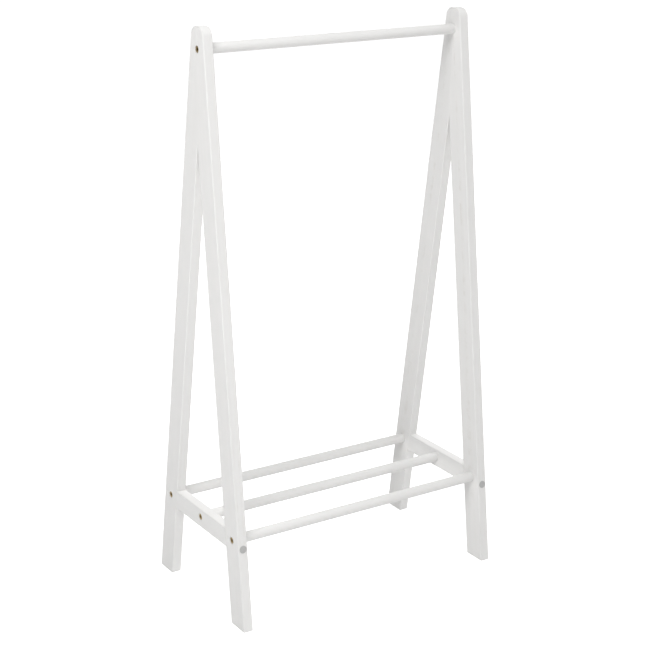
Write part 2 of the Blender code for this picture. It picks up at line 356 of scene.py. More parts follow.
def add_node(tree, kind, settings=None, **sockets):
    """A node with its settings. A socket is given by its name, with _ for a space, or by its number as _0.
    It takes a value or another node's output."""
    node = tree.nodes.new(kind)
    for setting, value in (settings or {}).items():
        setattr(node, setting, value)
    for key, value in sockets.items():
        socket = node.inputs[int(key[1:]) if key[1:].isdigit() else key.replace("_", " ")]
        if isinstance(value, bpy.types.NodeSocket):
            tree.links.new(value, socket)
        else:
            socket.default_value = value
    return node


def maths(tree, operation, *values):
    """The output of a Math node, whose values may be numbers or other outputs."""
    sockets = {f"_{i}": value for i, value in enumerate(values)}
    return add_node(tree, "ShaderNodeMath", {"operation": operation}, **sockets).outputs[0]


def use_tree(obj, tree, values):
    """Runs a geometry node tree on the object with these named inputs and bakes the result."""
    modifier = obj.modifiers.new(tree.name, "NODES")
    modifier.node_group = tree
    for item in tree.interface.items_tree:
        if item.in_out == "INPUT" and item.name in values:
            modifier[item.identifier] = values[item.name]
    bake(obj)


def round_bar_tree():
    """A bar along X whose last stretch at each end turns in by a quarter round."""
    inputs = [
        ("Sides", "int", BAR_SIDES),
        ("Rings", "int", BAR_RINGS),
        ("Half length", "float", 0.2),
        ("Radius", "float", 0.009),
        ("End rounding", "float", 0.001),
        ("Straight share", "float", 0.8),
        ("Finish", "material", None),
    ]
    tree, given, made = new_tree("round_bar", "GeometryNodeTree", inputs, [("Bar", "geometry")])
    blank = add_node(
        tree,
        "GeometryNodeMeshCylinder",
        {"fill_type": "NGON"},
        Vertices=given["Sides"],
        Side_Segments=given["Rings"],
        Radius=1.0,
        Depth=2.0,
    )
    place = add_node(tree, "GeometryNodeInputPosition").outputs[0]
    split = add_node(tree, "ShaderNodeSeparateXYZ", _0=place).outputs
    from_middle = maths(tree, "ABSOLUTE", split["Z"])
    straight = maths(tree, "MINIMUM", maths(tree, "DIVIDE", from_middle, given["Straight share"]), 1.0)
    past = maths(tree, "SUBTRACT", from_middle, given["Straight share"])
    bend_share = maths(tree, "DIVIDE", past, maths(tree, "SUBTRACT", 1.0, given["Straight share"]))
    angle = maths(tree, "MULTIPLY", maths(tree, "MAXIMUM", bend_share, 0.0), math.pi / 2)
    straight_half = maths(tree, "SUBTRACT", given["Half length"], given["End rounding"])
    bend_length = maths(tree, "MULTIPLY", maths(tree, "SINE", angle), given["End rounding"])
    length = maths(tree, "ADD", maths(tree, "MULTIPLY", straight, straight_half), bend_length)
    along = maths(tree, "MULTIPLY", length, maths(tree, "SIGN", split["Z"]))
    drop = maths(tree, "SUBTRACT", 1.0, maths(tree, "COSINE", angle))
    radius = maths(tree, "SUBTRACT", given["Radius"], maths(tree, "MULTIPLY", drop, given["End rounding"]))
    y = maths(tree, "MULTIPLY", split["Y"], radius)
    z = maths(tree, "MULTIPLY", split["X"], maths(tree, "MULTIPLY", radius, -1.0))
    point = add_node(tree, "ShaderNodeCombineXYZ", X=along, Y=y, Z=z).outputs[0]
    shaped = add_node(tree, "GeometryNodeSetPosition", Geometry=blank.outputs["Mesh"], Position=point)
    real = add_node(tree, "GeometryNodeRealizeInstances", Geometry=shaped.outputs[0])
    done = add_node(tree, "GeometryNodeSetMaterial", Geometry=real.outputs[0], Material=given["Finish"])
    tree.links.new(done.outputs[0], made["Bar"])
    return tree


def thread_tree():
    """Adds a helical ridge about X to a turned fastener."""
    inputs = [
        ("Blank", "geometry", None),
        ("Radius", "float", 0.003),
        ("Start", "float", 0.01),
        ("Length", "float", 0.02),
        ("Turns", "float", 10.0),
        ("Ridge", "float", 0.0004),
        ("Finish", "material", None),
    ]
    tree, given, made = new_tree("screw_thread", "GeometryNodeTree", inputs, [("Fastener", "geometry")])
    helix = add_node(
        tree,
        "GeometryNodeCurveSpiral",
        Resolution=THREAD_SIDES,
        Rotations=given["Turns"],
        Start_Radius=given["Radius"],
        End_Radius=given["Radius"],
        Height=given["Length"],
    )
    ridge = add_node(tree, "GeometryNodeCurvePrimitiveCircle", Resolution=3, Radius=given["Ridge"])
    swept = add_node(
        tree,
        "GeometryNodeCurveToMesh",
        Curve=helix.outputs[0],
        Profile_Curve=ridge.outputs[0],
        Fill_Caps=True,
    )
    start = add_node(tree, "ShaderNodeCombineXYZ", X=given["Start"]).outputs[0]
    along_x = Euler((0, math.pi / 2, 0))
    laid = add_node(
        tree, "GeometryNodeTransform", Geometry=swept.outputs[0], Translation=start, Rotation=along_x
    )
    both = add_node(tree, "GeometryNodeJoinGeometry")
    tree.links.new(laid.outputs[0], both.inputs[0])
    tree.links.new(given["Blank"], both.inputs[0])
    real = add_node(tree, "GeometryNodeRealizeInstances", Geometry=both.outputs[0])
    done = add_node(tree, "GeometryNodeSetMaterial", Geometry=real.outputs[0], Material=given["Finish"])
    tree.links.new(done.outputs[0], made["Fastener"])
    return tree


def seated_tree():
    """Sets a fastener on every point, with its +X along the point's inwards vector and turned about it at
    random."""
    inputs = [
        ("Seats", "geometry", None),
        ("Fastener", "object", None),
        ("Seed", "int", SEAT_SEED),
        ("Finish", "material", None),
    ]
    tree, given, made = new_tree("seated_fasteners", "GeometryNodeTree", inputs, [("Fasteners", "geometry")])
    fastener = add_node(tree, "GeometryNodeObjectInfo", Object=given["Fastener"])
    inwards = add_node(
        tree, "GeometryNodeInputNamedAttribute", {"data_type": "FLOAT_VECTOR"}, Name="inwards"
    )
    aimed = add_node(
        tree, "FunctionNodeAlignRotationToVector", {"axis": "X"}, Vector=inwards.outputs[0]
    )
    random_turn = add_node(
        tree, "FunctionNodeRandomValue", {"data_type": "FLOAT"}, _2=0.0, _3=math.tau, Seed=given["Seed"]
    )
    spin = add_node(
        tree, "FunctionNodeAxisAngleToRotation", Axis=(1.0, 0.0, 0.0), Angle=random_turn.outputs[1]
    )
    turned = add_node(tree, "FunctionNodeRotateRotation", {"rotation_space": "LOCAL"})
    tree.links.new(aimed.outputs[0], turned.inputs[0])
    tree.links.new(spin.outputs[0], turned.inputs[1])
    placed = add_node(
        tree,
        "GeometryNodeInstanceOnPoints",
        Points=given["Seats"],
        Instance=fastener.outputs["Geometry"],
        Rotation=turned.outputs[0],
    )
    real = add_node(tree, "GeometryNodeRealizeInstances", Geometry=placed.outputs[0])
    done = add_node(tree, "GeometryNodeSetMaterial", Geometry=real.outputs[0], Material=given["Finish"])
    tree.links.new(done.outputs[0], made["Fasteners"])
    return tree


# ---------------------------------------------------------------------------------------------------------
# Shared surface effects


def noise(tree, vector, scale, detail=2.0, roughness=0.5):
    settings = {"noise_dimensions": "3D"}
    node = add_node(
        tree, "ShaderNodeTexNoise", settings, Vector=vector, Scale=scale, Detail=detail, Roughness=roughness
    )
    return node.outputs[0]


def map_range(tree, value, low, high, new_low, new_high):
    return add_node(
        tree, "ShaderNodeMapRange", _0=value, _1=low, _2=high, _3=new_low, _4=new_high
    ).outputs[0]


def spread(tree, value):
    """Stretches the middle of a noise's range to run from 0 to 1."""
    return map_range(tree, value, 0.3, 0.7, 0.0, 1.0)


def stretched(tree, vector, along):
    """Coordinates that change slowly along Z."""
    return add_node(
        tree, "ShaderNodeVectorMath", {"operation": "MULTIPLY"}, _0=vector, _1=(1.0, 1.0, along)
    ).outputs[0]


def wood_grain_group():
    """Grain along Z: fine pores, and the broad soft and hard bands that show through paint."""
    inputs = [("Vector", "vector", None), ("Pores", "float", 420.0), ("Bands", "float", 90.0)]
    outputs = [("Height", "float"), ("Streaks", "float")]
    tree, given, made = new_tree("wood_grain", "ShaderNodeTree", inputs, outputs)
    pores = noise(tree, stretched(tree, given["Vector"], 0.02), given["Pores"], 3.0, 0.6)
    bands = noise(tree, stretched(tree, given["Vector"], 0.035), given["Bands"], 2.0, 0.45)
    both = maths(tree, "ADD", maths(tree, "MULTIPLY", pores, 0.35), maths(tree, "MULTIPLY", bands, 0.65))
    tree.links.new(both, made["Height"])
    tree.links.new(spread(tree, bands), made["Streaks"])
    return tree


def paint_film_group():
    """A sprayed film: shallow orange peel with a few specks of dust in it."""
    inputs = [("Vector", "vector", None), ("Peel", "float", 650.0), ("Specks", "float", 170.0)]
    tree, given, made = new_tree(
        "paint_film", "ShaderNodeTree", inputs, [("Height", "float"), ("Specks", "float")]
    )
    peel = noise(tree, given["Vector"], given["Peel"], 1.0, 0.4)
    cells = add_node(tree, "ShaderNodeTexVoronoi", Vector=given["Vector"], Scale=given["Specks"])
    specks = map_range(tree, cells.outputs["Distance"], 0.03, 0.09, 1.0, 0.0)
    tree.links.new(maths(tree, "ADD", peel, maths(tree, "MULTIPLY", specks, 0.6)), made["Height"])
    tree.links.new(specks, made["Specks"])
    return tree


def worn_edges_group():
    """Where handling has thinned the paint: patches along the roundings that the edge attribute marks."""
    inputs = [("Vector", "vector", None), ("Edge", "float", 0.0), ("Patches", "float", 60.0)]
    tree, given, made = new_tree("worn_edges", "ShaderNodeTree", inputs, [("Wear", "float")])
    broad = noise(tree, given["Vector"], given["Patches"], 3.0, 0.6)
    fine = noise(tree, given["Vector"], 900.0, 2.0, 0.6)
    patches = map_range(tree, maths(tree, "MULTIPLY_ADD", fine, 0.25, broad), 0.62, 0.82, 0.0, 1.0)
    edge = map_range(tree, given["Edge"], 0.55, 1.0, 0.0, 1.0)
    tree.links.new(maths(tree, "MULTIPLY", patches, edge), made["Wear"])
    return tree


def smudges_group():
    """Broad, faint differences left by handling and cleaning, from 0 to 1."""
    inputs = [("Vector", "vector", None), ("Scale", "float", 14.0)]
    tree, given, made = new_tree("smudges", "ShaderNodeTree", inputs, [("Smudges", "float")])
    broad = noise(tree, given["Vector"], given["Scale"], 4.0, 0.55)
    tree.links.new(spread(tree, broad), made["Smudges"])
    return tree


def plating_group():
    """Plated steel: cloudy colour, fine turning rings across the UV map's V, and scratches."""
    inputs = [("Vector", "vector", None), ("UV", "vector", None), ("Rings", "float", 9000.0)]
    outputs = [("Clouds", "float"), ("Height", "float")]
    tree, given, made = new_tree("plating", "ShaderNodeTree", inputs, outputs)
    clouds = noise(tree, given["Vector"], 900.0, 3.0, 0.6)
    across = add_node(tree, "ShaderNodeSeparateXYZ", _0=given["UV"]).outputs["Y"]
    along_rings = add_node(tree, "ShaderNodeCombineXYZ", Y=across).outputs[0]
    rings = noise(tree, along_rings, given["Rings"], 1.0, 0.5)
    scratches = noise(tree, stretched(tree, given["Vector"], 0.1), 3500.0, 2.0, 0.7)
    height = maths(tree, "ADD", rings, maths(tree, "MULTIPLY", scratches, 0.5))
    tree.links.new(spread(tree, clouds), made["Clouds"])
    tree.links.new(height, made["Height"])
    return tree


# ---------------------------------------------------------------------------------------------------------
# Finishes

PAINT_WHITE = (0.800, 0.795, 0.785, 1.0)
PAINT_SHADE = (0.774, 0.768, 0.755, 1.0)
PAINT_WORN = (0.640, 0.620, 0.580, 1.0)
ZINC_GOLD = (0.560, 0.420, 0.200, 1.0)
ZINC_BRONZE = (0.270, 0.195, 0.095, 1.0)
ZINC_SILVER = (0.560, 0.560, 0.550, 1.0)
ZINC_DULL = (0.380, 0.385, 0.390, 1.0)
CAP_GREY = (0.465, 0.463, 0.457, 1.0)
CAP_SHADE = (0.425, 0.424, 0.420, 1.0)
BEECH_LIGHT = (0.640, 0.450, 0.270, 1.0)
BEECH_DARK = (0.500, 0.320, 0.170, 1.0)
FLOOR_WHITE = (0.800, 0.800, 0.800, 1.0)

# Roughness runs from the first value to the second. Depths are those of the bumps.
PAINT_ROUGHNESS = (0.52, 0.62)
PAINT_SPECULAR = 0.35
GRAIN_UNDER_PAINT = 0.00030
PAINT_FILM_DEPTH = 0.00002
STREAKS_SHARE = 0.6
WORN_SHARE = 0.35
WORN_ROUGHNESS = 0.15
ZINC_ROUGHNESS = (0.28, 0.44)
ZINC_DEPTH = 0.00001
# Painted shade in sockets: how much of the colour goes to a darkened dull tone, and how dark that tone is
SOCKET_SHADE_SHARE = 0.8
SOCKET_SHADE_TONE = 0.35
SOCKET_ROUGHNESS = 0.25
CAP_ROUGHNESS = (0.46, 0.56)
CAP_DEPTH = 0.00001
BEECH_ROUGHNESS = (0.55, 0.70)
BEECH_DEPTH = 0.00008


def new_material(name):
    material = bpy.data.materials.new(name)
    material.use_nodes = True
    tree = material.node_tree
    shader = tree.nodes["Principled BSDF"]
    return material, tree, shader


def own_coordinates(tree, turn=(0.0, 0.0, 0.0)):
    place = add_node(tree, "ShaderNodeTexCoord").outputs["Object"]
    return add_node(tree, "ShaderNodeMapping", Vector=place, Rotation=turn).outputs[0]


def place_group(tree, group, **sockets):
    return add_node(tree, "ShaderNodeGroup", {"node_tree": group}, **sockets).outputs


def mix_colors(tree, share, first, second):
    """A share of 0 gives the first colour and 1 the second."""
    settings = {"data_type": "RGBA"}
    return add_node(tree, "ShaderNodeMix", settings, _0=share, _6=first, _7=second).outputs[2]


def bump(tree, height, distance, normal=None):
    node = add_node(tree, "ShaderNodeBump", Height=height, Distance=distance, Strength=1.0)
    if normal:
        tree.links.new(normal, node.inputs["Normal"])
    return node.outputs[0]


def satin_paint(name, groups, turn):
    """Satin white paint over wood whose grain runs along Z once the coordinates are turned."""
    material, tree, shader = new_material(name)
    place = own_coordinates(tree, turn)
    grain = place_group(tree, groups["grain"], Vector=place)
    film = place_group(tree, groups["film"], Vector=place)
    smudges = place_group(tree, groups["smudges"], Vector=place)[0]
    edge = add_node(tree, "ShaderNodeAttribute", {"attribute_name": "edge"}).outputs["Fac"]
    wear = place_group(tree, groups["wear"], Vector=place, Edge=edge)[0]
    clouds = maths(tree, "MULTIPLY", smudges, 1 - STREAKS_SHARE)
    tone = maths(tree, "MULTIPLY_ADD", grain["Streaks"], STREAKS_SHARE, clouds)
    color = mix_colors(tree, tone, PAINT_WHITE, PAINT_SHADE)
    color = mix_colors(tree, maths(tree, "MULTIPLY", wear, WORN_SHARE), color, PAINT_WORN)
    tree.links.new(color, shader.inputs["Base Color"])
    shader.inputs["Specular IOR Level"].default_value = PAINT_SPECULAR
    rough = map_range(tree, smudges, 0.0, 1.0, *PAINT_ROUGHNESS)
    tree.links.new(maths(tree, "MULTIPLY_ADD", wear, WORN_ROUGHNESS, rough), shader.inputs["Roughness"])
    over_grain = bump(tree, grain["Height"], GRAIN_UNDER_PAINT)
    film_normal = bump(tree, film["Height"], PAINT_FILM_DEPTH, over_grain)
    tree.links.new(film_normal, shader.inputs["Normal"])
    return material


def zinc_plate(name, groups, bright, dull):
    """Zinc plate in two tones, with painted shade and more roughness where the recess attribute marks a
    socket.
    """
    material, tree, shader = new_material(name)
    place = own_coordinates(tree)
    uv = add_node(tree, "ShaderNodeUVMap", {"uv_map": "turned"}).outputs[0]
    plating = place_group(tree, groups["plating"], Vector=place, UV=uv)
    recess = add_node(tree, "ShaderNodeAttribute", {"attribute_name": "recess"}).outputs["Fac"]
    color = mix_colors(tree, plating["Clouds"], bright, dull)
    # Painted shade: the colour is darkened inside a socket, where shade falls, and a little at its mouth
    socket_shade = tuple(SOCKET_SHADE_TONE * channel for channel in dull[:3]) + (1.0,)
    color = mix_colors(tree, maths(tree, "MULTIPLY", recess, SOCKET_SHADE_SHARE), color, socket_shade)
    tree.links.new(color, shader.inputs["Base Color"])
    rough = map_range(tree, plating["Clouds"], 0.0, 1.0, *ZINC_ROUGHNESS)
    tree.links.new(maths(tree, "MULTIPLY_ADD", recess, SOCKET_ROUGHNESS, rough), shader.inputs["Roughness"])
    shader.inputs["Metallic"].default_value = 1.0
    tree.links.new(bump(tree, plating["Height"], ZINC_DEPTH), shader.inputs["Normal"])
    return material


def moulded_plastic(name, groups):
    """Grey polyethylene with a fine spark-eroded texture."""
    material, tree, shader = new_material(name)
    place = own_coordinates(tree)
    smudges = place_group(tree, groups["smudges"], Vector=place, Scale=160.0)[0]
    film = place_group(tree, groups["film"], Vector=place, Peel=5200.0, Specks=900.0)
    color = mix_colors(tree, smudges, CAP_GREY, CAP_SHADE)
    tree.links.new(color, shader.inputs["Base Color"])
    tree.links.new(map_range(tree, smudges, 0.0, 1.0, *CAP_ROUGHNESS), shader.inputs["Roughness"])
    tree.links.new(bump(tree, film["Height"], CAP_DEPTH), shader.inputs["Normal"])
    return material


def bare_beech(name, groups):
    """Bare beech with its grain along Y, the way the pins lie."""
    material, tree, shader = new_material(name)
    place = own_coordinates(tree, (math.pi / 2, 0.0, 0.0))
    grain = place_group(tree, groups["grain"], Vector=place, Pores=1600.0, Bands=500.0)
    color = mix_colors(tree, grain["Streaks"], BEECH_LIGHT, BEECH_DARK)
    tree.links.new(color, shader.inputs["Base Color"])
    rough = map_range(tree, grain["Streaks"], 0.0, 1.0, *BEECH_ROUGHNESS)
    tree.links.new(rough, shader.inputs["Roughness"])
    tree.links.new(bump(tree, grain["Height"], BEECH_DEPTH), shader.inputs["Normal"])
    return material


def make_finishes():
    groups = {
        "grain": wood_grain_group(),
        "film": paint_film_group(),
        "wear": worn_edges_group(),
        "smudges": smudges_group(),
        "plating": plating_group(),
    }
    quarter = math.pi / 2
    return {
        "front": satin_paint("satin_white_front_legs", groups, (lean, 0.0, 0.0)),
        "rear": satin_paint("satin_white_rear_legs", groups, (-lean, 0.0, 0.0)),
        "crossbar": satin_paint("satin_white_crossbars", groups, (quarter, 0.0, 0.0)),
        "bar": satin_paint("satin_white_round_bars", groups, (0.0, quarter, 0.0)),
        "bolt": zinc_plate("yellow_zinc", groups, ZINC_GOLD, ZINC_BRONZE),
        "insert": zinc_plate("insert_zinc", groups, ZINC_SILVER, ZINC_DULL),
        "screw": zinc_plate("screw_zinc", groups, ZINC_SILVER, ZINC_DULL),
        "cap": moulded_plastic("grey_plastic", groups),
        "pin": bare_beech("beech", groups),
    }


# ---------------------------------------------------------------------------------------------------------
# End frames


def board(name, node, outline, side_edges, corner_edges):
    """A board between its node's X faces with its outline in (y, z). side_edges holds the rounding of each
    outline edge, and corner_edges that of each corner, which runs through the board."""
    low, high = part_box(node)
    bm = bmesh.new()
    weight = bm.edges.layers.float.new("bevel_weight_edge")
    left = [bm.verts.new((low.x, y, z)) for y, z in outline]
    right = [bm.verts.new((high.x, y, z)) for y, z in outline]
    count = len(outline)
    for i in range(count):
        j = (i + 1) % count
        bm.faces.new((left[i], left[j], right[j], right[i]))
        bm.edges.get((left[i], left[j]))[weight] = side_edges[i] / LONG_EDGE
        bm.edges.get((right[i], right[j]))[weight] = side_edges[i] / LONG_EDGE
    bm.faces.new(left)
    bm.faces.new(list(reversed(right)))
    for i in range(count):
        bm.edges.get((left[i], right[i]))[weight] = corner_edges[i] / LONG_EDGE
    obj = new_object(name, mesh_from(name, bm))
    bevel = obj.modifiers.new("rounded_edges", "BEVEL")
    bevel.limit_method = "WEIGHT"
    bevel.width = LONG_EDGE
    bevel.segments = EDGE_SEGMENTS
    bevel.use_clamp_overlap = True
    bake(obj)
    return obj


def leg_outline(end):
    """(y, z) points of a leg from the foot up to its rounded apex, and the roundings that go with them."""
    mitre_y = SEAM / 2
    mitre_foot = (inner_edge(0) - mitre_y) / lean_slope
    centre_z = rack_height - APEX_RADIUS
    centre_y = outer_edge(centre_z) - APEX_RADIUS / math.cos(lean)
    points = [(outer_edge(0), 0), (inner_edge(0), 0), (mitre_y, mitre_foot), (mitre_y, rack_height)]
    side_edges = [FOOT_EDGE, LONG_EDGE, JOINT_EDGE, LONG_EDGE]
    corner_edges = [FOOT_EDGE, FOOT_EDGE, 0, JOINT_EDGE]
    turn = math.pi / 2 - lean
    for step in range(APEX_STEPS + 1):
        angle = math.pi / 2 - turn * step / APEX_STEPS
        points.append((centre_y + APEX_RADIUS * math.cos(angle), centre_z + APEX_RADIUS * math.sin(angle)))
        side_edges.append(LONG_EDGE)
        corner_edges.append(0)
    return [(end * y, z) for y, z in points], side_edges, corner_edges


def bolt_hole(side, x_face, y, z):
    """Counterbored from a board's outer face, and through it."""
    through = size("left_crossbar").x + CUTTER_OVERRUN
    steps = [(COUNTERBORE_DEPTH, COUNTERBORE_RADIUS), (through, BOLT_HOLE_RADIUS)]
    return hole((x_face, y, z), (-side, 0, 0), steps, eased=True)


def pin_hole(node, direction):
    """The half of a pin's hole that lies beyond the joint in this direction along Y."""
    depth = size(node).y / 2 + PIN_HOLE_CLEARANCE
    return hole(middle(node), (0, direction, 0), [(depth, PIN_HOLE_RADIUS)])


def make_leg(side_name, end_name, finish):
    side = SIDES[side_name]
    end = ENDS[end_name]
    node = f"{side_name}_{end_name}_leg"
    corner = f"{side_name}_{end_name}"
    leg = board(node + "_board", node, *leg_outline(end))
    face_x = side * solid_high.x
    rail = middle("hanging_rail")
    shelf_bar = middle(f"{end_name}_shelf_bar")
    screw = middle(f"{corner}_crossbar_screw")
    seat = (screw.x, end * outer_edge(screw.z), screw.z)
    through = LEG_WIDTH + 2 * CUTTER_OVERRUN
    screw_steps = [(SCREW_SEAT_DEPTH, SCREW_SEAT_RADIUS), (through, SCREW_HOLE_RADIUS)]
    holes = [
        bolt_hole(side, face_x, rail.y, rail.z),
        bolt_hole(side, face_x, shelf_bar.y, shelf_bar.z),
        hole(seat, (0, -end, 0), screw_steps),
        pin_hole(f"{corner}_crossbar_pin", end),
        pin_hole(f"{side_name}_lower_apex_pin", end),
        pin_hole(f"{side_name}_upper_apex_pin", end),
    ]
    drill(leg, holes)
    finish_board(leg, node, finish, lambda y, z: abs(y) < SEAM + 2 * JOINT_EDGE)


def make_crossbar(side_name, finish):
    side = SIDES[side_name]
    node = f"{side_name}_crossbar"
    box_low, box_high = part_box(node)
    low = inner_edge(box_low.z) - SEAM
    high = inner_edge(box_high.z) - SEAM
    outline = [(-low, box_low.z), (low, box_low.z), (high, box_high.z), (-high, box_high.z)]
    side_edges = [LONG_EDGE, JOINT_EDGE, LONG_EDGE, JOINT_EDGE]
    crossbar = board(node + "_board", node, outline, side_edges, [JOINT_EDGE] * 4)
    bar = middle("middle_shelf_bar")
    holes = [bolt_hole(side, side * solid_high.x, bar.y, bar.z)]
    for end_name, end in ENDS.items():
        corner = f"{side_name}_{end_name}"
        screw = middle(f"{corner}_crossbar_screw")
        start_y = inner_edge(screw.z)
        start = (screw.x, end * start_y, screw.z)
        pilot = hole(start, (0, -end, 0), [(start_y - SCREW_TIP_Y, SCREW_HOLE_RADIUS)])
        holes += [pilot, pin_hole(f"{corner}_crossbar_pin", -end)]
    drill(crossbar, holes)
    finish_board(crossbar, node, finish, lambda y, z: abs(y) > inner_edge(z) - 2 * JOINT_EDGE)


def finish_board(obj, node, finish, in_joint):
    shade(obj)
    mark_edges(obj, in_joint)
    obj.data.materials.clear()
    obj.data.materials.append(finish)
    settle(obj, "white_paint", node)


def settle(obj, slot, *nodes):
    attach(obj, "root")
    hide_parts(*nodes)


# ---------------------------------------------------------------------------------------------------------
# Round bars


def make_bar(node, tree, finish):
    centre = middle(node)
    half_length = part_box("right_crossbar")[0].x - SEAM
    bar = new_object(node + "_dowel", bpy.data.meshes.new(node + "_dowel"))
    values = {
        "Sides": BAR_SIDES,
        "Rings": BAR_RINGS,
        "Half length": half_length,
        "Radius": size(node).z / 2,
        "End rounding": BAR_END_ROUNDING,
        "Straight share": BAR_STRAIGHT_SHARE,
        "Finish": finish,
    }
    use_tree(bar, tree, values)
    bar.data.transform(Matrix.Translation(centre))
    steps = [(INSERT_HOLE_DEPTH, INSERT_HOLE_RADIUS), (BOLT_TIP_DEPTH, BOLT_HOLE_RADIUS)]
    holes = []
    for side in SIDES.values():
        holes.append(hole(centre + Vector((side * half_length, 0, 0)), (-side, 0, 0), steps))
    drill(bar, holes)
    shade(bar)
    mark_edges(bar)
    settle(bar, "white_paint", node)


# ---------------------------------------------------------------------------------------------------------
# Fasteners, each made once along +X from its outer end inwards


def socket_rings(depth):
    """From the bottom of a hexagon socket out to its chamfered mouth on a head's flat face."""
    return [
        (depth, SOCKET_APOTHEM * SOCKET_FLOOR_SHARE, "hexagon", 1.0),
        (depth, SOCKET_APOTHEM, "hexagon", 1.0),
        (SOCKET_EDGE, SOCKET_APOTHEM, "hexagon", 1.0),
        (0.0, SOCKET_APOTHEM + SOCKET_EDGE, "hexagon", SOCKET_MOUTH_RECESS),
    ]


def head_rings(radius, thickness, shank_radius):
    below = thickness - UNDERCUT
    return [
        *quarter_round(0.0, radius, HEAD_EDGE),
        (below, radius),
        (thickness, radius - UNDERCUT),
        (thickness, shank_radius),
    ]


def make_bolt(length, head_radius):
    rings = [
        *socket_rings(SOCKET_DEPTH),
        *head_rings(head_radius, HEAD_THICKNESS, BOLT_SHANK_RADIUS),
        (length - BOLT_TIP, BOLT_SHANK_RADIUS),
        (length, BOLT_SHANK_RADIUS - BOLT_TIP),
    ]
    thread = (BOLT_SHANK_RADIUS, BOLT_PLAIN_LENGTH, length - BOLT_PLAIN_LENGTH - BOLT_TIP, BOLT_PITCH)
    return turned_fastener("bolt", rings), thread


def make_screw(length, head_radius):
    rings = [
        *socket_rings(SCREW_SOCKET_DEPTH),
        *head_rings(head_radius, SCREW_HEAD_THICKNESS, SCREW_SHANK_RADIUS),
        (length - SCREW_POINT, SCREW_SHANK_RADIUS),
        (length, SCREW_POINT_RADIUS),
    ]
    threaded = length * SCREW_THREADED_SHARE
    thread = (SCREW_SHANK_RADIUS, length - SCREW_POINT - threaded, threaded, SCREW_PITCH)
    return turned_fastener("screw", rings), thread


def make_insert(length):
    """A tube whose thread stops half a pitch short of each end."""
    rings = [
        (0.0, INSERT_BORE_RADIUS),
        (0.0, INSERT_CORE_RADIUS - INSERT_EDGE),
        (INSERT_EDGE, INSERT_CORE_RADIUS),
        (length - INSERT_EDGE, INSERT_CORE_RADIUS),
        (length, INSERT_CORE_RADIUS - INSERT_EDGE),
        (length, INSERT_BORE_RADIUS),
    ]
    thread = (INSERT_CORE_RADIUS, INSERT_PITCH / 2, length - INSERT_PITCH, INSERT_PITCH)
    return turned_fastener("insert", rings, closed=True), thread


def make_cap():
    """Its +X points into the leg from the leg's edge: a crowned face with a rounded rim, on a short stem."""
    face = -CAP_THICKNESS
    rings = []
    for step in range(1, ROUND_STEPS + 1):
        share = step / ROUND_STEPS * (1 - CAP_EDGE / CAP_FACE_RADIUS)
        rings.append((face + CAP_CROWN * share * share, CAP_FACE_RADIUS * share))
    rings += quarter_round(face + CAP_CROWN, CAP_FACE_RADIUS, CAP_EDGE)[1:]
    rings += [(0.0, CAP_FACE_RADIUS), (0.0, CAP_STEM_RADIUS), (CAP_STEM_LENGTH, CAP_STEM_RADIUS)]
    return turned_fastener("cap", rings)


def make_pin(length, radius):
    """A fluted pin, centred."""
    half = length / 2
    rings = [
        (-half, radius - PIN_CHAMFER),
        (PIN_CHAMFER - half, radius, "fluted"),
        (half - PIN_CHAMFER, radius, "fluted"),
        (half, radius - PIN_CHAMFER),
    ]
    return turned_fastener("pin", rings, 6 * PIN_FLUTES)


def cut_thread(fastener, thread, tree, ridge):
    radius, start, length, pitch = thread
    values = {"Radius": radius, "Start": start, "Length": length, "Turns": length / pitch, "Ridge": ridge}
    use_tree(fastener, tree, values)


def seat_fasteners(name, fastener, seats, tree, finish, slot, nodes):
    """One piece that holds a copy of the fastener on every seat, which is a place and a direction inwards."""
    bm = bmesh.new()
    inwards_layer = bm.verts.layers.float_vector.new("inwards")
    for place, inwards in seats:
        bm.verts.new(place)[inwards_layer] = inwards
    mesh = bpy.data.meshes.new(name)
    bm.to_mesh(mesh)
    bm.free()
    piece = new_object(name, mesh)
    use_tree(piece, tree, {"Fastener": fastener, "Seed": SEAT_SEED, "Finish": finish})
    bpy.data.objects.remove(fastener, do_unlink=True)
    shade(piece)
    settle(piece, slot, *nodes)


def make_bolts_and_inserts(trees, finishes):
    """A bolt through each board into the insert in each end of every bar."""
    bolt_seats, insert_seats = [], []
    bolt_nodes, insert_nodes = [], []
    for bar in BARS:
        for side_name, side in SIDES.items():
            bolt_node = f"{bar}_{side_name}_bolt"
            insert_node = f"{bar}_{side_name}_insert"
            place = middle(bolt_node)
            inwards = (-side, 0.0, 0.0)
            bolt_seats.append(((outer_end(bolt_node, "x", side), place.y, place.z), inwards))
            insert_seats.append(((outer_end(insert_node, "x", side), place.y, place.z), inwards))
            bolt_nodes.append(bolt_node)
            insert_nodes.append(insert_node)
    bolt_size = size(bolt_nodes[-1])
    bolt, bolt_thread = make_bolt(bolt_size.x, bolt_size.z / 2)
    cut_thread(bolt, bolt_thread, trees["thread"], BOLT_RIDGE)
    insert_size = size(insert_nodes[-1])
    insert, insert_thread = make_insert(insert_size.x)
    cut_thread(insert, insert_thread, trees["thread"], insert_size.z / 2 - INSERT_CORE_RADIUS)
    seated = trees["seated"]
    seat_fasteners(
        "socket_bolts", bolt, bolt_seats, seated, finishes["bolt"], "bolt_yellow_zinc", bolt_nodes
    )
    seat_fasteners(
        "threaded_inserts", insert, insert_seats, seated, finishes["insert"], "insert_zinc", insert_nodes
    )


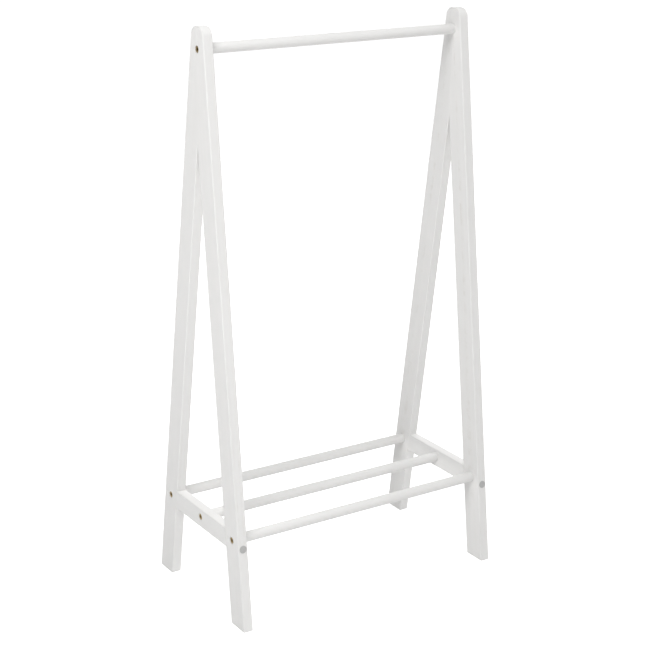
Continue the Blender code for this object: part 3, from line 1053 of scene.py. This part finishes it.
def make_corner_fasteners(trees, finishes):
    """The screws into the crossbars' ends, the caps over them and the pins above them."""
    screws, caps, pins = [], [], []
    names = {"screw": [], "cap": [], "pin": []}
    for side_name in SIDES:
        for end_name, end in ENDS.items():
            corner = f"{side_name}_{end_name}"
            screw_node = f"{corner}_crossbar_screw"
            pin_node = f"{corner}_crossbar_pin"
            place = middle(screw_node)
            screws.append(((place.x, outer_end(screw_node, "y", end), place.z), (0.0, -end, 0.0)))
            on_edge = (place.x, end * outer_edge(place.z), place.z)
            caps.append((on_edge, (0.0, -end * math.cos(lean), -math.sin(lean))))
            pins.append((middle(pin_node), (0.0, end, 0.0)))
            names["screw"].append(screw_node)
            names["cap"].append(f"{corner}_screw_cap")
            names["pin"].append(pin_node)
    screw_size = size(names["screw"][-1])
    screw, thread = make_screw(screw_size.y, screw_size.z / 2)
    cut_thread(screw, thread, trees["thread"], SCREW_RIDGE)
    pin_size = size(names["pin"][0])
    pin = make_pin(pin_size.y, pin_size.z / 2)
    seated = trees["seated"]
    seat_fasteners("crossbar_screws", screw, screws, seated, finishes["screw"], "screw_zinc", names["screw"])
    seat_fasteners("screw_caps", make_cap(), caps, seated, finishes["cap"], "cap_grey_plastic", names["cap"])
    seat_fasteners("crossbar_pins", pin, pins, seated, finishes["pin"], "pin_beech", names["pin"])


def make_apex_pins(trees, finishes):
    nodes = [f"{side_name}_{level}_apex_pin" for side_name in SIDES for level in ("lower", "upper")]
    pin_size = size(nodes[0])
    pin = make_pin(pin_size.y, pin_size.z / 2)
    seats = [(middle(node), (0.0, 1.0, 0.0)) for node in nodes]
    seat_fasteners("apex_pins", pin, seats, trees["seated"], finishes["pin"], "pin_beech", nodes)


# ---------------------------------------------------------------------------------------------------------
# Studio

CAMERA_PLACE = (-1.4898, -2.2324, 1.3624)
CAMERA_HEADING = math.radians(33.50)
CAMERA_DROP = math.radians(17.35)
CAMERA_ROLL = math.radians(0.97)
CAMERA_LENS = 89.16
CAMERA_SENSOR = 36.0
CAMERA_SHIFT = -0.054
CAMERA_CLIP = (0.05, 100.0)

# Light from each axis's positive side, by how squarely it is faced
ROOM_LIGHTS = {"X": 1.60, "Y": 0.07, "Z": 0.16}
FLOOR_REACH = 30.0
FLOOR_LIFT = 0.55
FLOOR_GLOW = 0.148
FLOOR_DROP = -0.0002
# Name, place, what it points at, width, height and power in watts
LAMPS = (
    ("key", (-2.10, -1.50, 3.80), (0.0, 0.0, 0.55), 2.40, 2.40, 116.0),
    ("left_panel", (-1.15, -0.10, 0.90), (0.0, 0.0, 0.50), 0.8, 1.2, 1.5),
    ("front_left_panel", (-1.15, -1.00, 0.80), (0.0, 0.0, 0.50), 0.8, 1.2, 2.9),
    ("rear_panel", (1.80, 2.20, 1.60), (0.0, 0.0, 0.50), 1.8, 1.8, 13.5),
)


def make_camera():
    data = bpy.data.cameras.new("camera")
    data.lens = CAMERA_LENS
    data.sensor_width = CAMERA_SENSOR
    data.shift_y = CAMERA_SHIFT
    data.clip_start, data.clip_end = CAMERA_CLIP
    camera = new_object("camera", data)
    ahead = Vector(
        (
            math.sin(CAMERA_HEADING) * math.cos(CAMERA_DROP),
            math.cos(CAMERA_HEADING) * math.cos(CAMERA_DROP),
            -math.sin(CAMERA_DROP),
        )
    )
    level = ahead.cross(Vector((0, 0, 1))).normalized()
    upright = level.cross(ahead)
    right = math.cos(CAMERA_ROLL) * level + math.sin(CAMERA_ROLL) * upright
    up = math.cos(CAMERA_ROLL) * upright - math.sin(CAMERA_ROLL) * level
    turn = Matrix((right, up, -ahead)).transposed()
    camera.matrix_world = Matrix.Translation(CAMERA_PLACE) @ turn.to_4x4()
    bpy.context.scene.camera = camera


def make_lamp(name, place, target, width, height, power):
    data = bpy.data.lights.new(name, "AREA")
    data.shape = "RECTANGLE"
    data.size = width
    data.size_y = height
    data.energy = power
    lamp = new_object(name, data)
    lamp.location = place
    lamp.rotation_mode = "QUATERNION"
    lamp.rotation_quaternion = (Vector(target) - Vector(place)).to_track_quat("-Z", "Y")


def make_world():
    """White for the camera. For everything else, soft light from the right, from above and from the rear,
    which fades with the angle from each of those directions."""
    world = bpy.data.worlds.new("studio")
    bpy.context.scene.world = world
    world.use_nodes = True
    tree = world.node_tree
    background = tree.nodes["Background"]
    background.inputs["Color"].default_value = (1.0, 1.0, 1.0, 1.0)
    seen = add_node(tree, "ShaderNodeLightPath").outputs["Is Camera Ray"]
    direction = add_node(tree, "ShaderNodeTexCoord").outputs["Generated"]
    parts = add_node(tree, "ShaderNodeSeparateXYZ", _0=direction).outputs
    room = 0.0
    for axis, light in ROOM_LIGHTS.items():
        room = maths(tree, "MULTIPLY_ADD", maths(tree, "MAXIMUM", parts[axis], 0.0), light, room)
    strength = map_range(tree, seen, 0.0, 1.0, room, 1.0)
    tree.links.new(strength, background.inputs["Strength"])


def make_floor():
    """A white floor with a faint glow, which the camera sees lifted all the way to white."""
    bm = bmesh.new()
    reach = FLOOR_REACH
    corners = [(-reach, -reach), (reach, -reach), (reach, reach), (-reach, reach)]
    bm.faces.new([bm.verts.new((x, y, FLOOR_DROP)) for x, y in corners])
    floor = new_object("floor", mesh_from("floor", bm))
    material, tree, shader = new_material("floor_white")
    shader.inputs["Base Color"].default_value = FLOOR_WHITE
    shader.inputs["Roughness"].default_value = 0.9
    shader.inputs["Specular IOR Level"].default_value = 0.1
    seen = add_node(tree, "ShaderNodeLightPath").outputs["Is Camera Ray"]
    shader.inputs["Emission Color"].default_value = (1.0, 1.0, 1.0, 1.0)
    glow = maths(tree, "MULTIPLY_ADD", seen, FLOOR_LIFT, FLOOR_GLOW)
    tree.links.new(glow, shader.inputs["Emission Strength"])
    floor.data.materials.append(material)


def make_studio():
    make_camera()
    make_world()
    make_floor()
    for lamp in LAMPS:
        make_lamp(*lamp)
    bpy.context.scene.view_settings.view_transform = "Standard"


def main():
    make_studio()
    finishes = make_finishes()
    for side_name in SIDES:
        make_crossbar(side_name, finishes["crossbar"])
        for end_name in ENDS:
            make_leg(side_name, end_name, finishes[end_name])
    trees = {"bar": round_bar_tree(), "thread": thread_tree(), "seated": seated_tree()}
    for node in BARS:
        make_bar(node, trees["bar"], finishes["bar"])
    make_bolts_and_inserts(trees, finishes)
    make_corner_fasteners(trees, finishes)
    make_apex_pins(trees, finishes)


main()
